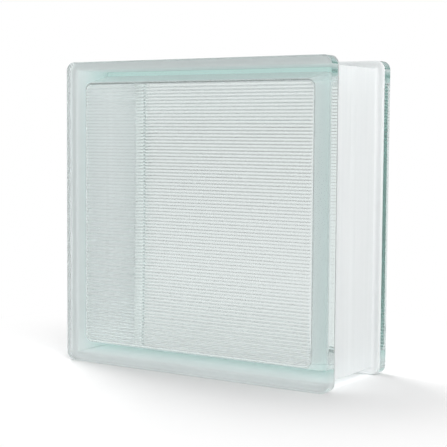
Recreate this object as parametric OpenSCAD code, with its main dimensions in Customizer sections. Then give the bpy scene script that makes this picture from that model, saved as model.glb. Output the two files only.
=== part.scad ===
// Hollow glass block for building walls and partitions.
// Two pressed glass halves are fused edge to edge, so the block is one piece with a sealed hollow.
// It stands on its edge: X across the face, Y through the depth (front towards -Y), Z up.
// The origin is at the middle of the underside.

/* [Block] */
// Width of the face
block_w = 197; // [150:1:240]
// Height of the face
block_h = 197; // [150:1:240]
// Depth from outer face to outer face
block_d = 79; // [70:1:100]

/* [Faces and rims] */
// Thickness of each face, from its smooth outside to the valleys between its ribs
face_t = 6.5; // [5.5:0.1:8]
// Depth of the rim round each face
rim_d = 10.5; // [8:0.5:14]
// How far the rims stand out beyond the floor of the mortar channel
rim_reach = 5; // [3:0.1:5.3]
// Radius of the rims' corners, seen from the front
corner_r = 5.6; // [5.4:0.1:10]
// Rounding of the rims' long edges
edge_r = 1.5; // [0.8:0.1:2]

/* [Mortar channel and walls] */
// Fillet between the channel's floor and its sides
channel_r = 2; // [1:0.1:2.8]
// Thickness of the walls where they meet the faces
wall_root_t = 8.4; // [7:0.1:9.5]
// Thickness of the walls at the fused seam
wall_seam_t = 3.4; // [2.5:0.1:6]
// Radius of the hollow's corners, seen from the front
hollow_r = 4.5; // [4:0.1:12]
// Fillet between the walls and the faces inside the hollow
root_r = 3; // [2:0.1:4]
// Width of the low bead along the fused seam in the channel
seam_w = 8; // [4:0.1:10]
// Height of that bead
seam_h = 0.3; // [0.15:0.05:0.5]
// Width of the bead along the seam inside the hollow
bead_w = 4; // [3:0.1:5]
// Height of that bead
bead_h = 0.6; // [0.45:0.05:0.8]

/* [Ribs] */
// Distance from one high rib to the next
rib_pitch = 4.1; // [3.6:0.1:6]
// Width of a high rib
rib_w = 2.2; // [1.6:0.1:2.5]
// Height of a high rib above the valleys
rib_h = 0.4; // [0.25:0.05:0.6]
// Height of the low ribs between the high ones
low_rib_h = 0.3; // [0.15:0.05:0.45]

/* [Hidden] */
$fn = 96;
glass_tint = "#c9e2dd";

// Overrun of every cut past the surface it starts from
overrun = 1;
// How far the fillet's round reaches past face and wall, so that it crosses them instead of grazing
fillet_over = 0.02;
// How far the plain inside of a face lies behind the valleys
valley_back = 0.3;
// Half depths, measured from the seam
half_d = block_d / 2;
channel_half = half_d - rim_d;
rib_plane = half_d - face_t;
// Floor of the mortar channel, measured from the centres of the rims' corners
floor_x = corner_r - rim_reach;
// Size of the plain hollow at the faces, which reaches behind the valleys, and how far its
// drafted walls spread towards the seam
hollow_w = block_w - 2 * (rim_reach + wall_root_t);
hollow_h = block_h - 2 * (rim_reach + wall_root_t);
hollow_half = rib_plane + valley_back;
wall_spread = wall_root_t - wall_seam_t;
draft = atan(wall_spread / hollow_half);
// Width of the low ribs, which fill the space between the high ones
low_rib_w = rib_pitch - rib_w;
// Ribs that fit between the fillets at the top and the bottom of the hollow
rib_count = floor((hollow_h - 2 * root_r) / rib_pitch);

// Radius of the arc that spans a chord and rises above its middle
function arc_radius(chord, rise) = (chord * chord / 4 + rise * rise) / (2 * rise);

// What a rounding takes off a square corner, on the side that the two signs give
module corner_waste(r, signs) {
    difference() {
        translate([min(0, signs[0]) * r, min(0, signs[1]) * r])
            square(r);
        translate([signs[0] * r, signs[1] * r])
            circle(r);
    }
}

// Part of a disc that rises above a chord on the line at x, towards the given sign
module low_arc(x, chord, rise, sign) {
    r = arc_radius(chord, rise);
    intersection() {
        translate([x + sign * (rise - r), 0])
            circle(r);
        translate([x - rise, -chord])
            square([2 * rise, 2 * chord]);
    }
}

// Solid swept round a rectangle with rounded corners; its section starts at the corners' centres
module swept_round(w, h, r, depth) {
    run_w = w - 2 * r;
    run_h = h - 2 * r;
    cube([run_w, run_h, depth], center = true);
    for (turn = [0, 180])
        rotate(turn) {
            translate([run_w / 2, 0, 0])
                rotate([90, 0, 0])
                    linear_extrude(run_h, center = true)
                        children();
            translate([0, run_h / 2, 0])
                rotate([90, 0, 90])
                    linear_extrude(run_w, center = true)
                        children();
            translate([run_w / 2, run_h / 2, 0])
                rotate_extrude(angle = 90)
                    children();
            translate([-run_w / 2, run_h / 2, 0])
                rotate(90)
                    rotate_extrude(angle = 90)
                        children();
        }
}

// Section of the cut that makes the mortar channel
module channel_section() {
    difference() {
        translate([floor_x, -channel_half])
            square([rim_reach + overrun, 2 * channel_half]);
        for (side = [-1, 1])
            translate([floor_x, side * channel_half])
                corner_waste(channel_r, [1, -side]);
        low_arc(floor_x, seam_w, seam_h, 1);
    }
}

// Section of the two rims with the mortar channel between them
module outer_section() {
    difference() {
        translate([0, -half_d])
            square([corner_r, block_d]);
        for (side = [-1, 1]) {
            translate([corner_r, side * half_d])
                corner_waste(edge_r, [-1, -side]);
            translate([corner_r, side * channel_half])
                corner_waste(edge_r, [-1, side]);
        }
        channel_section();
    }
}

// What the fillet between a face and a drafted wall leaves of their corner
module root_waste() {
    run = root_r / tan(45 + draft / 2);
    difference() {
        polygon([
            [0, 0],
            [-run, 0],
            [-run, -root_r],
            [run * sin(draft), -run * cos(draft)],
        ]);
        translate([-run, -root_r])
            circle(root_r + fillet_over);
    }
}

// Section of the hollow: drafted walls, a fillet at each face and a bead at the seam
module hollow_section() {
    difference() {
        polygon([
            [0, -hollow_half],
            [hollow_r, -hollow_half],
            [hollow_r + wall_spread, 0],
            [hollow_r, hollow_half],
            [0, hollow_half],
        ]);
        for (side = [0, 1])
            mirror([0, side])
                translate([hollow_r, hollow_half])
                    root_waste();
        low_arc(hollow_r + wall_spread, bead_w, bead_h, -1);
    }
}

// Row of like ribs on both faces, as discs whose caps stand above the valleys
module rib_row(count, width, height) {
    r = arc_radius(width, height);
    for (side = [-1, 1], i = [1 : count])
        translate([(i - (count + 1) / 2) * rib_pitch, side * (rib_plane - height + r)])
            circle(r);
}

// Section of the space between the faces, across the ribs
module ribbed_section() {
    difference() {
        square([hollow_h + 2 * wall_spread + overrun, 2 * hollow_half + overrun], center = true);
        rib_row(rib_count, rib_w, rib_h);
        rib_row(rib_count + 1, low_rib_w, low_rib_h);
    }
}

// The hollow between the faces, with the ribs standing into it
module hollow() {
    intersection() {
        swept_round(hollow_w, hollow_h, hollow_r, 2 * hollow_half)
            hollow_section();
        rotate([90, 0, 90])
            linear_extrude(hollow_w + 2 * wall_spread + overrun, center = true)
                ribbed_section();
    }
}

module glass_block() {
    color(glass_tint)
        translate([0, 0, block_h / 2])
            rotate([90, 0, 0])
                difference() {
                    swept_round(block_w, block_h, corner_r, block_d)
                        outer_section();
                    hollow();
                }
}

glass_block();
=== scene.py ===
import math
import bpy
import numpy as np
from mathutils import Matrix, Vector


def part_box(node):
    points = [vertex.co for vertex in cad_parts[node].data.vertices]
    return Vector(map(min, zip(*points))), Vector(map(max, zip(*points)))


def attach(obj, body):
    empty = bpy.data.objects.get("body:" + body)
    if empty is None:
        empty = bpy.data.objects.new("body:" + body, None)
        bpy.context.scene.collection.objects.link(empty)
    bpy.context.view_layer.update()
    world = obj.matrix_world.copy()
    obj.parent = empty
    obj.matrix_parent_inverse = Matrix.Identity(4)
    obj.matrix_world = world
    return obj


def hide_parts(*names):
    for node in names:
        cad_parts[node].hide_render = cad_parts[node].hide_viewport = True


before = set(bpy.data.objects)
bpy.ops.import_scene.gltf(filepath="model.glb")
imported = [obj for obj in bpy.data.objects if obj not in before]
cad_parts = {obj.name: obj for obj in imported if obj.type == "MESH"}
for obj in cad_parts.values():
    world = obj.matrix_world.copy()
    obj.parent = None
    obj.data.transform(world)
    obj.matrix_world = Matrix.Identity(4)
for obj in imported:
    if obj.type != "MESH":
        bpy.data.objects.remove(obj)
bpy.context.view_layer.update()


# Glass block
# Two pressed halves of pale green-blue glass, fused edge to edge round a sealed hollow, so it is one piece.
# The outside is smooth, with a rounded rim round each face and a mortar channel between the rims.
# The inside of each face has ribs that run across it, high and low by turns, and die into the fillet.
mm = 0.001
block_low, block_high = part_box("glass_block")
half_w = (block_high[0] - block_low[0]) / 2
half_d = (block_high[1] - block_low[1]) / 2
half_h = (block_high[2] - block_low[2]) / 2
mid_z = block_low[2] + half_h
face_t = 6.5 * mm
rim_d = 10.5 * mm
rim_reach = 5 * mm
corner_r = 5.6 * mm
edge_r = 1.5 * mm
channel_r = 2 * mm
wall_root_t = 8.4 * mm
wall_seam_t = 3.4 * mm
hollow_r = 4.5 * mm
root_r = 3 * mm
seam_w = 8 * mm
seam_h = 0.3 * mm
bead_w = 4 * mm
bead_h = 0.6 * mm
rib_pitch = 4.1 * mm
rib_w = 2.2 * mm
rib_h = 0.4 * mm
low_rib_h = 0.3 * mm
valley_back = 0.3 * mm

# How softly the ribs melt into the fillet, and how fine the mesh is
melt_r = 0.4 * mm
bead_gap = 0.1 * mm
probe = 0.02 * mm
steps_per_rib = 24
arc_steps = 10
plain_columns = 9

# The glass, its tint and the faint ripple of its pressed surface
glass_white = (0.94, 0.94, 0.94, 1)
glass_index = 1.52
glass_tint = (0.4, 0.69, 0.645, 1)
tint_density = 14
ripple_scale = 25
ripple_detail = 1
ripple_strength = 0.035
ripple_depth = 0.2 * mm

low_rib_w = rib_pitch - rib_w
channel_half = half_d - rim_d
floor_x = corner_r - rim_reach
rib_plane = half_d - face_t
hollow_half = rib_plane + valley_back
hollow_w = half_w - rim_reach - wall_root_t
hollow_h = half_h - rim_reach - wall_root_t
wall_spread = wall_root_t - wall_seam_t
draft = math.atan(wall_spread / hollow_half)
rib_count = math.floor(2 * (hollow_h - root_r) / rib_pitch)
root_run = root_r / math.tan(math.radians(45) + draft / 2)
root_out = root_run * math.sin(draft)
wall_end = hollow_half - root_run * math.cos(draft)


def arc_radius(chord, rise):
    """Radius of the arc that spans a chord and rises above its middle."""
    return (chord ** 2 / 4 + rise ** 2) / (2 * rise)


def arc_points(centre, radius, start, end, outward=1):
    """Points and normals along an arc in a section, from one angle to another in degrees."""
    angles = np.radians(np.linspace(start, end, arc_steps + 1))
    ways = np.column_stack([np.cos(angles), np.sin(angles)])
    return np.hstack([np.array(centre) + radius * ways, outward * ways])


def outer_section():
    """Section of both rims and the channel from the front face to the back: x, depth and normal."""
    rim_front = arc_points((corner_r - edge_r, -half_d + edge_r), edge_r, -90, 0)
    rim_back = arc_points((corner_r - edge_r, -channel_half - edge_r), edge_r, 0, 90)
    fillet = arc_points((floor_x + channel_r, -channel_half + channel_r), channel_r, 270, 180, outward=-1)
    front = np.vstack([rim_front, rim_back, fillet])
    back = front[::-1] * np.array([1, -1, 1, -1])
    seam_r = arc_radius(seam_w, seam_h)
    half_angle = math.degrees(math.asin(seam_w / 2 / seam_r))
    seam = arc_points((floor_x + seam_h - seam_r, 0), seam_r, -half_angle, half_angle)
    beside = seam_w / 2 + bead_gap
    flat = np.array([[floor_x, -beside, 1, 0], [floor_x, beside, 1, 0]])
    return np.vstack([front, flat[:1], seam, flat[1:], back])


def swept_rings(section, run_w, run_h):
    """Points and normals of a section swept round a rectangle with rounded corners."""
    rings, normals = [], []
    for x, y, normal_x, normal_y in section:
        for turn, (side_x, side_z) in enumerate([(1, 1), (-1, 1), (-1, -1), (1, -1)]):
            for angle in np.radians(np.linspace(0, 90, arc_steps + 1) + 90 * turn):
                across, upward = math.cos(angle), math.sin(angle)
                rings.append((side_x * run_w + x * across, y, mid_z + side_z * run_h + x * upward))
                normals.append((normal_x * across, normal_y, normal_x * upward))
    return np.array(rings), np.array(normals)


def ring_faces(rings, outward=True):
    """Quads between rings of points that follow each other, which face out of the rings or into them."""
    faces = []
    for near, far in zip(rings, rings[1:]):
        for j in range(len(near)):
            k = (j + 1) % len(near)
            quad = [near[j], far[j], far[k], near[k]]
            faces.append(quad if outward else quad[:1] + quad[:0:-1])
    return faces


def rib_cap(z, count, width, height):
    """Height of a row of like ribs above the valleys, from the nearest rib of the row."""
    radius = arc_radius(width, height)
    nearest = np.clip(np.round(z / rib_pitch + (count - 1) / 2), 0, count - 1) - (count - 1) / 2
    across = np.clip(z - nearest * rib_pitch, -radius, radius)
    return np.sqrt(radius ** 2 - across ** 2) - (radius - height)


def wall_distance(x, z):
    """Distance inside the rounded outline of the hollow."""
    over_x = np.abs(x) - (hollow_w - hollow_r)
    over_z = np.abs(z) - (hollow_h - hollow_r)
    outside = np.hypot(np.maximum(over_x, 0), np.maximum(over_z, 0))
    return hollow_r - outside - np.minimum(np.maximum(over_x, over_z), 0)


def hollow_depth(x, z):
    """Depth from the seam to the inside of a face, with the ribs melted into the fillet at the walls."""
    past_root = np.clip(root_run - wall_distance(x, z), 0, root_r * math.cos(draft))
    fillet = hollow_half - root_r + np.sqrt(root_r ** 2 - past_root ** 2)
    ribs = np.maximum(rib_cap(z, rib_count, rib_w, rib_h), rib_cap(z, rib_count + 1, low_rib_w, low_rib_h))
    ribbed = rib_plane - ribs
    melt = np.maximum(melt_r - np.abs(fillet - ribbed), 0) ** 2 / (4 * melt_r)
    return np.minimum(fillet, ribbed) - melt


def slopes(height, x, z):
    """Slopes of a height over the plan, across and up, from small steps to either side."""
    across = (height(x + probe, z) - height(x - probe, z)) / (2 * probe)
    upward = (height(x, z + probe) - height(x, z - probe)) / (2 * probe)
    return across, upward


def hollow_grid():
    """Plan positions of the points of a face's inside: rows up the face, columns across it."""
    lap = np.linspace(0, 1, arc_steps + 1)
    fillet = (root_run + root_out) * (1 - np.cos(lap * math.pi / 2))
    field = rib_count / 2 * rib_pitch + low_rib_w / 2
    ribbed = np.linspace(-field, field, round(2 * field / rib_pitch * steps_per_rib) + 1)
    ends = hollow_h + root_out - fillet
    ends = ends[ends > field + rib_pitch / steps_per_rib]
    rows = np.concatenate([-ends, ribbed, ends[::-1]])
    outline_r = hollow_r + root_out
    over = np.clip(np.abs(rows) - (hollow_h - hollow_r), 0, outline_r)
    reach = hollow_w - hollow_r + np.sqrt(outline_r ** 2 - over ** 2)
    inner = np.linspace(-1, 1, plain_columns)[1:-1]
    columns = []
    for width in reach:
        side = width - fillet
        columns.append(np.concatenate([-side, inner * side[-1], side[::-1]]))
    return np.array(columns), np.repeat(rows[:, None], len(columns[0]), axis=1)


def seam_rings():
    """Offset, depth and normal of the points from wall to wall, over the bead on the inner seam."""
    bead_r = arc_radius(bead_w, bead_h)
    level = bead_r - bead_h
    slope = math.tan(draft)
    spare = (level * slope) ** 2 + (1 + slope ** 2) * (bead_r ** 2 - level ** 2)
    half_bead = (math.sqrt(spare) - level * slope) / (1 + slope ** 2)
    half_angle = math.degrees(math.asin(half_bead / bead_r))
    bead = arc_points((wall_spread + level, 0), bead_r, 180 + half_angle, 180 - half_angle)
    beside = half_bead + bead_gap
    wall = np.array([wall_spread - beside * slope, -beside, -1, slope])
    return np.vstack([wall, bead, wall * np.array([1, -1, 1, -1])])


def ribbed_insides(x, z, inward_x, inward_z):
    """Points, normals and faces of both ribbed insides, whose outermost points lie on the walls."""
    n_rows, n_cols = x.shape
    slope_x, slope_z = slopes(hollow_depth, x, z)
    edge = np.ones(x.shape, bool)
    edge[1:-1, 1:-1] = False
    normal_x = np.where(edge, inward_x, slope_x)
    normal_z = np.where(edge, inward_z, slope_z)
    normal_y = np.where(edge, math.tan(draft), 1)
    depth = np.where(edge, wall_end, hollow_depth(x, z))
    points, normals, faces = [], [], []
    for number, side in enumerate((-1, 1)):
        points.append(np.column_stack([x.ravel(), side * depth.ravel(), mid_z + z.ravel()]))
        normals.append(np.column_stack([normal_x.ravel(), -side * normal_y.ravel(), normal_z.ravel()]))
        for i in range(n_rows - 1):
            for j in range(n_cols - 1):
                first = number * x.size + i * n_cols + j
                quad = [first, first + n_cols, first + n_cols + 1, first + 1]
                faces.append(quad if side < 0 else quad[::-1])
    return points, normals, faces


def hollow_walls(x, z, inward_x, inward_z):
    """Points, normals and faces of the walls between the two insides, with the bead on the seam."""
    ids = np.arange(x.size).reshape(x.shape)
    loop = np.concatenate([ids[0, :-1], ids[:-1, -1], ids[-1, :0:-1], ids[:0:-1, 0]])
    plan = np.column_stack([x.ravel()[loop], z.ravel()[loop]])
    inward = np.column_stack([inward_x.ravel()[loop], inward_z.ravel()[loop]])
    inward /= np.linalg.norm(inward, axis=1)[:, None]
    points, normals = [], []
    rings = [loop]
    first = 2 * x.size
    for out, y, normal_in, normal_y in seam_rings():
        spot = plan - inward * (out - root_out)
        points.append(np.column_stack([spot[:, 0], np.full(len(loop), y), mid_z + spot[:, 1]]))
        lean = np.full(len(loop), normal_y)
        normals.append(np.column_stack([-inward[:, 0] * normal_in, lean, -inward[:, 1] * normal_in]))
        rings.append(first + np.arange(len(loop)))
        first += len(loop)
    rings.append(loop + x.size)
    return points, normals, ring_faces(rings, outward=False)


def hollow_shell():
    """Points, normals and faces of the hollow: two ribbed insides and the walls between them."""
    x, z = hollow_grid()
    inward_x, inward_z = slopes(wall_distance, x, z)
    inside_points, inside_normals, inside_faces = ribbed_insides(x, z, inward_x, inward_z)
    wall_points, wall_normals, wall_faces = hollow_walls(x, z, inward_x, inward_z)
    points = np.vstack(inside_points + wall_points)
    normals = np.vstack(inside_normals + wall_normals)
    return points, normals, inside_faces + wall_faces


def new_object(name, data):
    """A new object in the scene."""
    made = bpy.data.objects.new(name, data)
    bpy.context.scene.collection.objects.link(made)
    return made


def new_piece(name, points, normals, faces):
    """A mesh piece with smooth faces and given normals at its points."""
    mesh = bpy.data.meshes.new(name)
    mesh.from_pydata(points.tolist(), [], [list(map(int, face)) for face in faces])
    mesh.shade_smooth()
    unit = normals / np.linalg.norm(normals, axis=1)[:, None]
    mesh.normals_split_custom_set_from_vertices(unit.tolist())
    return new_object(name, mesh)


def new_node(tree, kind, values):
    """A shader node with the given values on its sockets."""
    node = tree.nodes.new(kind)
    for socket, value in values.items():
        node.inputs[socket].default_value = value
    return node


section = outer_section()
outer_points, outer_normals = swept_rings(section, half_w - corner_r, half_h - corner_r)
around = 4 * (arc_steps + 1)
outer_rings = np.arange(len(outer_points)).reshape(len(section), around)
outer_faces = ring_faces(outer_rings)
outer_faces.append(outer_rings[0])
outer_faces.append(outer_rings[-1][::-1])
inner_points, inner_normals, inner_faces = hollow_shell()
inner_faces = [[i + len(outer_points) for i in face] for face in inner_faces]
block = new_piece("glass_block_dressed", np.vstack([outer_points, inner_points]),
                  np.vstack([outer_normals, inner_normals]), outer_faces + inner_faces)

glass = bpy.data.materials.new("pressed_glass_with_coat")
glass.use_nodes = True
tree = glass.node_tree
glass_out = tree.nodes["Material Output"]
clear = tree.nodes["Principled BSDF"]
clear.inputs["Base Color"].default_value = glass_white
clear.inputs["Roughness"].default_value = 0.0
clear.inputs["IOR"].default_value = glass_index
clear.inputs["Transmission Weight"].default_value = 1.0
tint = new_node(tree, "ShaderNodeVolumeAbsorption", {"Color": glass_tint, "Density": tint_density})
tree.links.new(tint.outputs["Volume"], glass_out.inputs["Volume"])
place = tree.nodes.new("ShaderNodeTexCoord")
ripple = new_node(tree, "ShaderNodeTexNoise", {"Scale": ripple_scale, "Detail": ripple_detail})
tree.links.new(place.outputs["Object"], ripple.inputs["Vector"])
wavy = new_node(tree, "ShaderNodeBump", {"Strength": ripple_strength, "Distance": ripple_depth})
tree.links.new(ripple.outputs["Fac"], wavy.inputs["Height"])
tree.links.new(wavy.outputs["Normal"], clear.inputs["Normal"])
block.data.materials.append(glass)
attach(block, "root")
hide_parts("glass_block")


# White coat
# A thin matt keying coat, brushed on the mortar channel, the backs of the rims and their inner edges.
# It clings to the glass and lets some light through, so the walls look milky from the front.
coat_through = 0.42
coat_rough = 0.55
thin_coat = (0.905, 0.92, 0.925, 1)
thick_coat = (0.945, 0.955, 0.96, 1)
thin_below = 0.3
thick_above = 0.7

# The brush streaks are fine across the channel and long along it
brush_scale = (10, 320, 10)
brush_detail = 4
brush_strength = 0.2
brush_depth = 0.1 * mm


def new_ramp(tree, low_colour, high_colour, low_end=0.0, high_end=1.0):
    """A ramp from one colour to another."""
    ramp = tree.nodes.new("ShaderNodeValToRGB")
    low, high = ramp.color_ramp.elements
    low.color = low_colour
    low.position = low_end
    high.color = high_colour
    high.position = high_end
    return ramp


def mixed(tree, first, second):
    """A mix of two shaders, whose share is still to be set."""
    mix = tree.nodes.new("ShaderNodeMixShader")
    tree.links.new(first, mix.inputs[1])
    tree.links.new(second, mix.inputs[2])
    return mix


# The coat starts where the flat side of the front rim ends and stops where that of the back rim begins
first_coated = arc_steps + 1
last_coated = len(section) - 1 - first_coated
coated = np.zeros(len(block.data.polygons))
coated[first_coated * around:last_coated * around] = 1
block.data.attributes.new("coated", "FLOAT", "FACE").data.foreach_set("value", coated)

where = tree.nodes.new("ShaderNodeAttribute")
where.attribute_name = "coated"
brush_way = new_node(tree, "ShaderNodeMapping", {"Scale": brush_scale})
tree.links.new(place.outputs["Object"], brush_way.inputs["Vector"])
streaks = new_node(tree, "ShaderNodeTexNoise", {"Scale": 1, "Detail": brush_detail})
tree.links.new(brush_way.outputs["Vector"], streaks.inputs["Vector"])
shade = new_ramp(tree, thin_coat, thick_coat, thin_below, thick_above)
tree.links.new(streaks.outputs["Fac"], shade.inputs["Fac"])
brushed = new_node(tree, "ShaderNodeBump", {"Strength": brush_strength, "Distance": brush_depth})
tree.links.new(streaks.outputs["Fac"], brushed.inputs["Height"])
coat = new_node(tree, "ShaderNodeBsdfPrincipled", {"Roughness": coat_rough, "Specular IOR Level": 0.0})
tree.links.new(shade.outputs["Color"], coat.inputs["Base Color"])
tree.links.new(brushed.outputs["Normal"], coat.inputs["Normal"])
glow = tree.nodes.new("ShaderNodeBsdfTranslucent")
tree.links.new(shade.outputs["Color"], glow.inputs["Color"])
film = mixed(tree, coat.outputs["BSDF"], glow.outputs["BSDF"])
film.inputs["Fac"].default_value = coat_through
finish = mixed(tree, clear.outputs["BSDF"], film.outputs["Shader"])
tree.links.new(where.outputs["Fac"], finish.inputs["Fac"])
tree.links.new(finish.outputs["Shader"], glass_out.inputs["Surface"])


# Studio floor
# A plain white floor just under the block, made of one sheet with a faint grain.
# It carries the block's soft shadow and turns to clean white away from it.
floor_reach = 6.0
floor_drop = -0.05 * mm
floor_rough = 0.9
grain_scale = 30
grain_detail = 3
dull_white = (0.9, 0.9, 0.9, 1)
pale_white = (0.94, 0.94, 0.94, 1)
fade_start = 0.06
fade_end = 0.27


def joined(tree, operation, first, second):
    """Output of a math node that takes two other outputs."""
    node = tree.nodes.new("ShaderNodeMath")
    node.operation = operation
    tree.links.new(first, node.inputs[0])
    tree.links.new(second, node.inputs[1])
    return node.outputs[0]


floor_mesh = bpy.data.meshes.new("studio_floor")
corners = [(-floor_reach, -floor_reach, floor_drop), (floor_reach, -floor_reach, floor_drop),
           (floor_reach, floor_reach, floor_drop), (-floor_reach, floor_reach, floor_drop)]
floor_mesh.from_pydata(corners, [], [(0, 1, 2, 3)])
floor = new_object("studio_floor", floor_mesh)
white = bpy.data.materials.new("white_floor")
white.use_nodes = True
tree = white.node_tree
floor_place = tree.nodes.new("ShaderNodeTexCoord")
grain = new_node(tree, "ShaderNodeTexNoise", {"Scale": grain_scale, "Detail": grain_detail})
tree.links.new(floor_place.outputs["Object"], grain.inputs["Vector"])
pale = new_ramp(tree, dull_white, pale_white)
tree.links.new(grain.outputs["Fac"], pale.inputs["Fac"])
matt = tree.nodes["Principled BSDF"]
matt.inputs["Roughness"].default_value = floor_rough
tree.links.new(pale.outputs["Color"], matt.inputs["Base Color"])
away = tree.nodes.new("ShaderNodeVectorMath")
away.operation = "LENGTH"
tree.links.new(floor_place.outputs["Object"], away.inputs[0])
far = new_node(tree, "ShaderNodeMapRange", {"From Min": fade_start, "From Max": fade_end})
far.interpolation_type = "SMOOTHSTEP"
tree.links.new(away.outputs["Value"], far.inputs["Value"])
path = tree.nodes.new("ShaderNodeLightPath")
seen_far = joined(tree, "MULTIPLY", path.outputs["Is Camera Ray"], far.outputs["Result"])
in_glass = joined(tree, "MAXIMUM", path.outputs["Is Glossy Ray"], path.outputs["Is Transmission Ray"])
clean = tree.nodes.new("ShaderNodeEmission")
fade = mixed(tree, matt.outputs["BSDF"], clean.outputs["Emission"])
tree.links.new(joined(tree, "MAXIMUM", seen_far, in_glass), fade.inputs["Fac"])
tree.links.new(fade.outputs["Shader"], tree.nodes["Material Output"].inputs["Surface"])
floor.data.materials.append(white)


# Light
# A white surround, dimmer overhead, with soft lamps at the right in front and at the left behind.
# A weak panel lies on the floor under the channel, as on a light table, and lights the underside.
soft_level = 0.7
seen_level = 1.0
overhead_level = 0.28
dim_start = 0.12
dim_end = 0.34
lamp_size = 1.4
lamp_aim = Vector((0, 0, 0.1))
key_spot = Vector((1.9, -1.2, 1.5))
key_power = 63
fill_spot = Vector((-1.7, 0.7, 1.5))
fill_power = 54
panel_power = 0.021

world = bpy.data.worlds.new("white_surround")
bpy.context.scene.world = world
world.use_nodes = True
tree = world.node_tree
path = tree.nodes.new("ShaderNodeLightPath")
direct = joined(tree, "MAXIMUM", path.outputs["Is Camera Ray"], path.outputs["Is Glossy Ray"])
seen = joined(tree, "MAXIMUM", direct, path.outputs["Is Transmission Ray"])
level = new_node(tree, "ShaderNodeMapRange", {"To Min": soft_level, "To Max": seen_level})
tree.links.new(seen, level.inputs["Value"])
sky_way = tree.nodes.new("ShaderNodeTexCoord")
split = tree.nodes.new("ShaderNodeSeparateXYZ")
tree.links.new(sky_way.outputs["Generated"], split.inputs["Vector"])
dim = new_node(tree, "ShaderNodeMapRange", {"From Min": dim_start, "From Max": dim_end,
                                            "To Min": 1.0, "To Max": overhead_level})
dim.interpolation_type = "SMOOTHSTEP"
tree.links.new(split.outputs["Z"], dim.inputs["Value"])
sky = tree.nodes["Background"]
sky.inputs["Color"].default_value = (1, 1, 1, 1)
sky_strength = joined(tree, "MULTIPLY", level.outputs["Result"], dim.outputs["Result"])
tree.links.new(sky_strength, sky.inputs["Strength"])

for name, spot, power in [("key_lamp", key_spot, key_power), ("fill_lamp", fill_spot, fill_power)]:
    lamp = bpy.data.lights.new(name, "AREA")
    lamp.size = lamp_size
    lamp.energy = power
    holder = new_object(name, lamp)
    holder.location = spot
    holder.visible_glossy = False
    holder.visible_transmission = False
    holder.rotation_euler = (lamp_aim - spot).to_track_quat("-Z", "Y").to_euler()

panel = bpy.data.lights.new("table_panel", "AREA")
panel.shape = "RECTANGLE"
panel.size = 2 * (half_w - rim_reach)
panel.size_y = 2 * channel_half
panel.energy = panel_power
panel_holder = new_object("table_panel", panel)
panel_holder.location = (0, 0, floor_drop / 2)
panel_holder.rotation_euler = (math.pi, 0, 0)
panel_holder.visible_camera = False


# Camera
# A long lens at the photograph's viewing angle, a little below the top of the block and to its right.
# Light runs far along the glass by inner reflection, so the bounces are many.
frame_px = 447
focal_px = 1213.5
yaw = math.radians(33.00)
pitch = math.radians(4.31)
roll = math.radians(0.401)
camera_spot = Vector((426.2, -655.8, 152.2)) * mm
sensor_width = 36
clip_start = 0.01
most_bounces = 64
matt_bounces = 32
glass_bounces = 60

level_way = np.array([-math.sin(yaw), math.cos(yaw), 0])
level_right = np.array([math.cos(yaw), math.sin(yaw), 0])
up = np.array([0, 0, 1])
ahead = math.cos(pitch) * level_way - math.sin(pitch) * up
lifted = math.sin(pitch) * level_way + math.cos(pitch) * up
right = math.cos(roll) * level_right + math.sin(roll) * lifted
top = math.cos(roll) * lifted - math.sin(roll) * level_right
lens = bpy.data.cameras.new("camera")
lens.sensor_width = sensor_width
lens.lens = sensor_width * focal_px / frame_px
lens.clip_start = clip_start
camera = new_object("camera", lens)
turn = Matrix((right, top, -ahead)).transposed().to_4x4()
camera.matrix_world = Matrix.Translation(camera_spot) @ turn

scene = bpy.context.scene
scene.camera = camera
scene.view_settings.view_transform = "Standard"
scene.cycles.max_bounces = most_bounces
scene.cycles.diffuse_bounces = matt_bounces
scene.cycles.transmission_bounces = glass_bounces
scene.cycles.glossy_bounces = glass_bounces
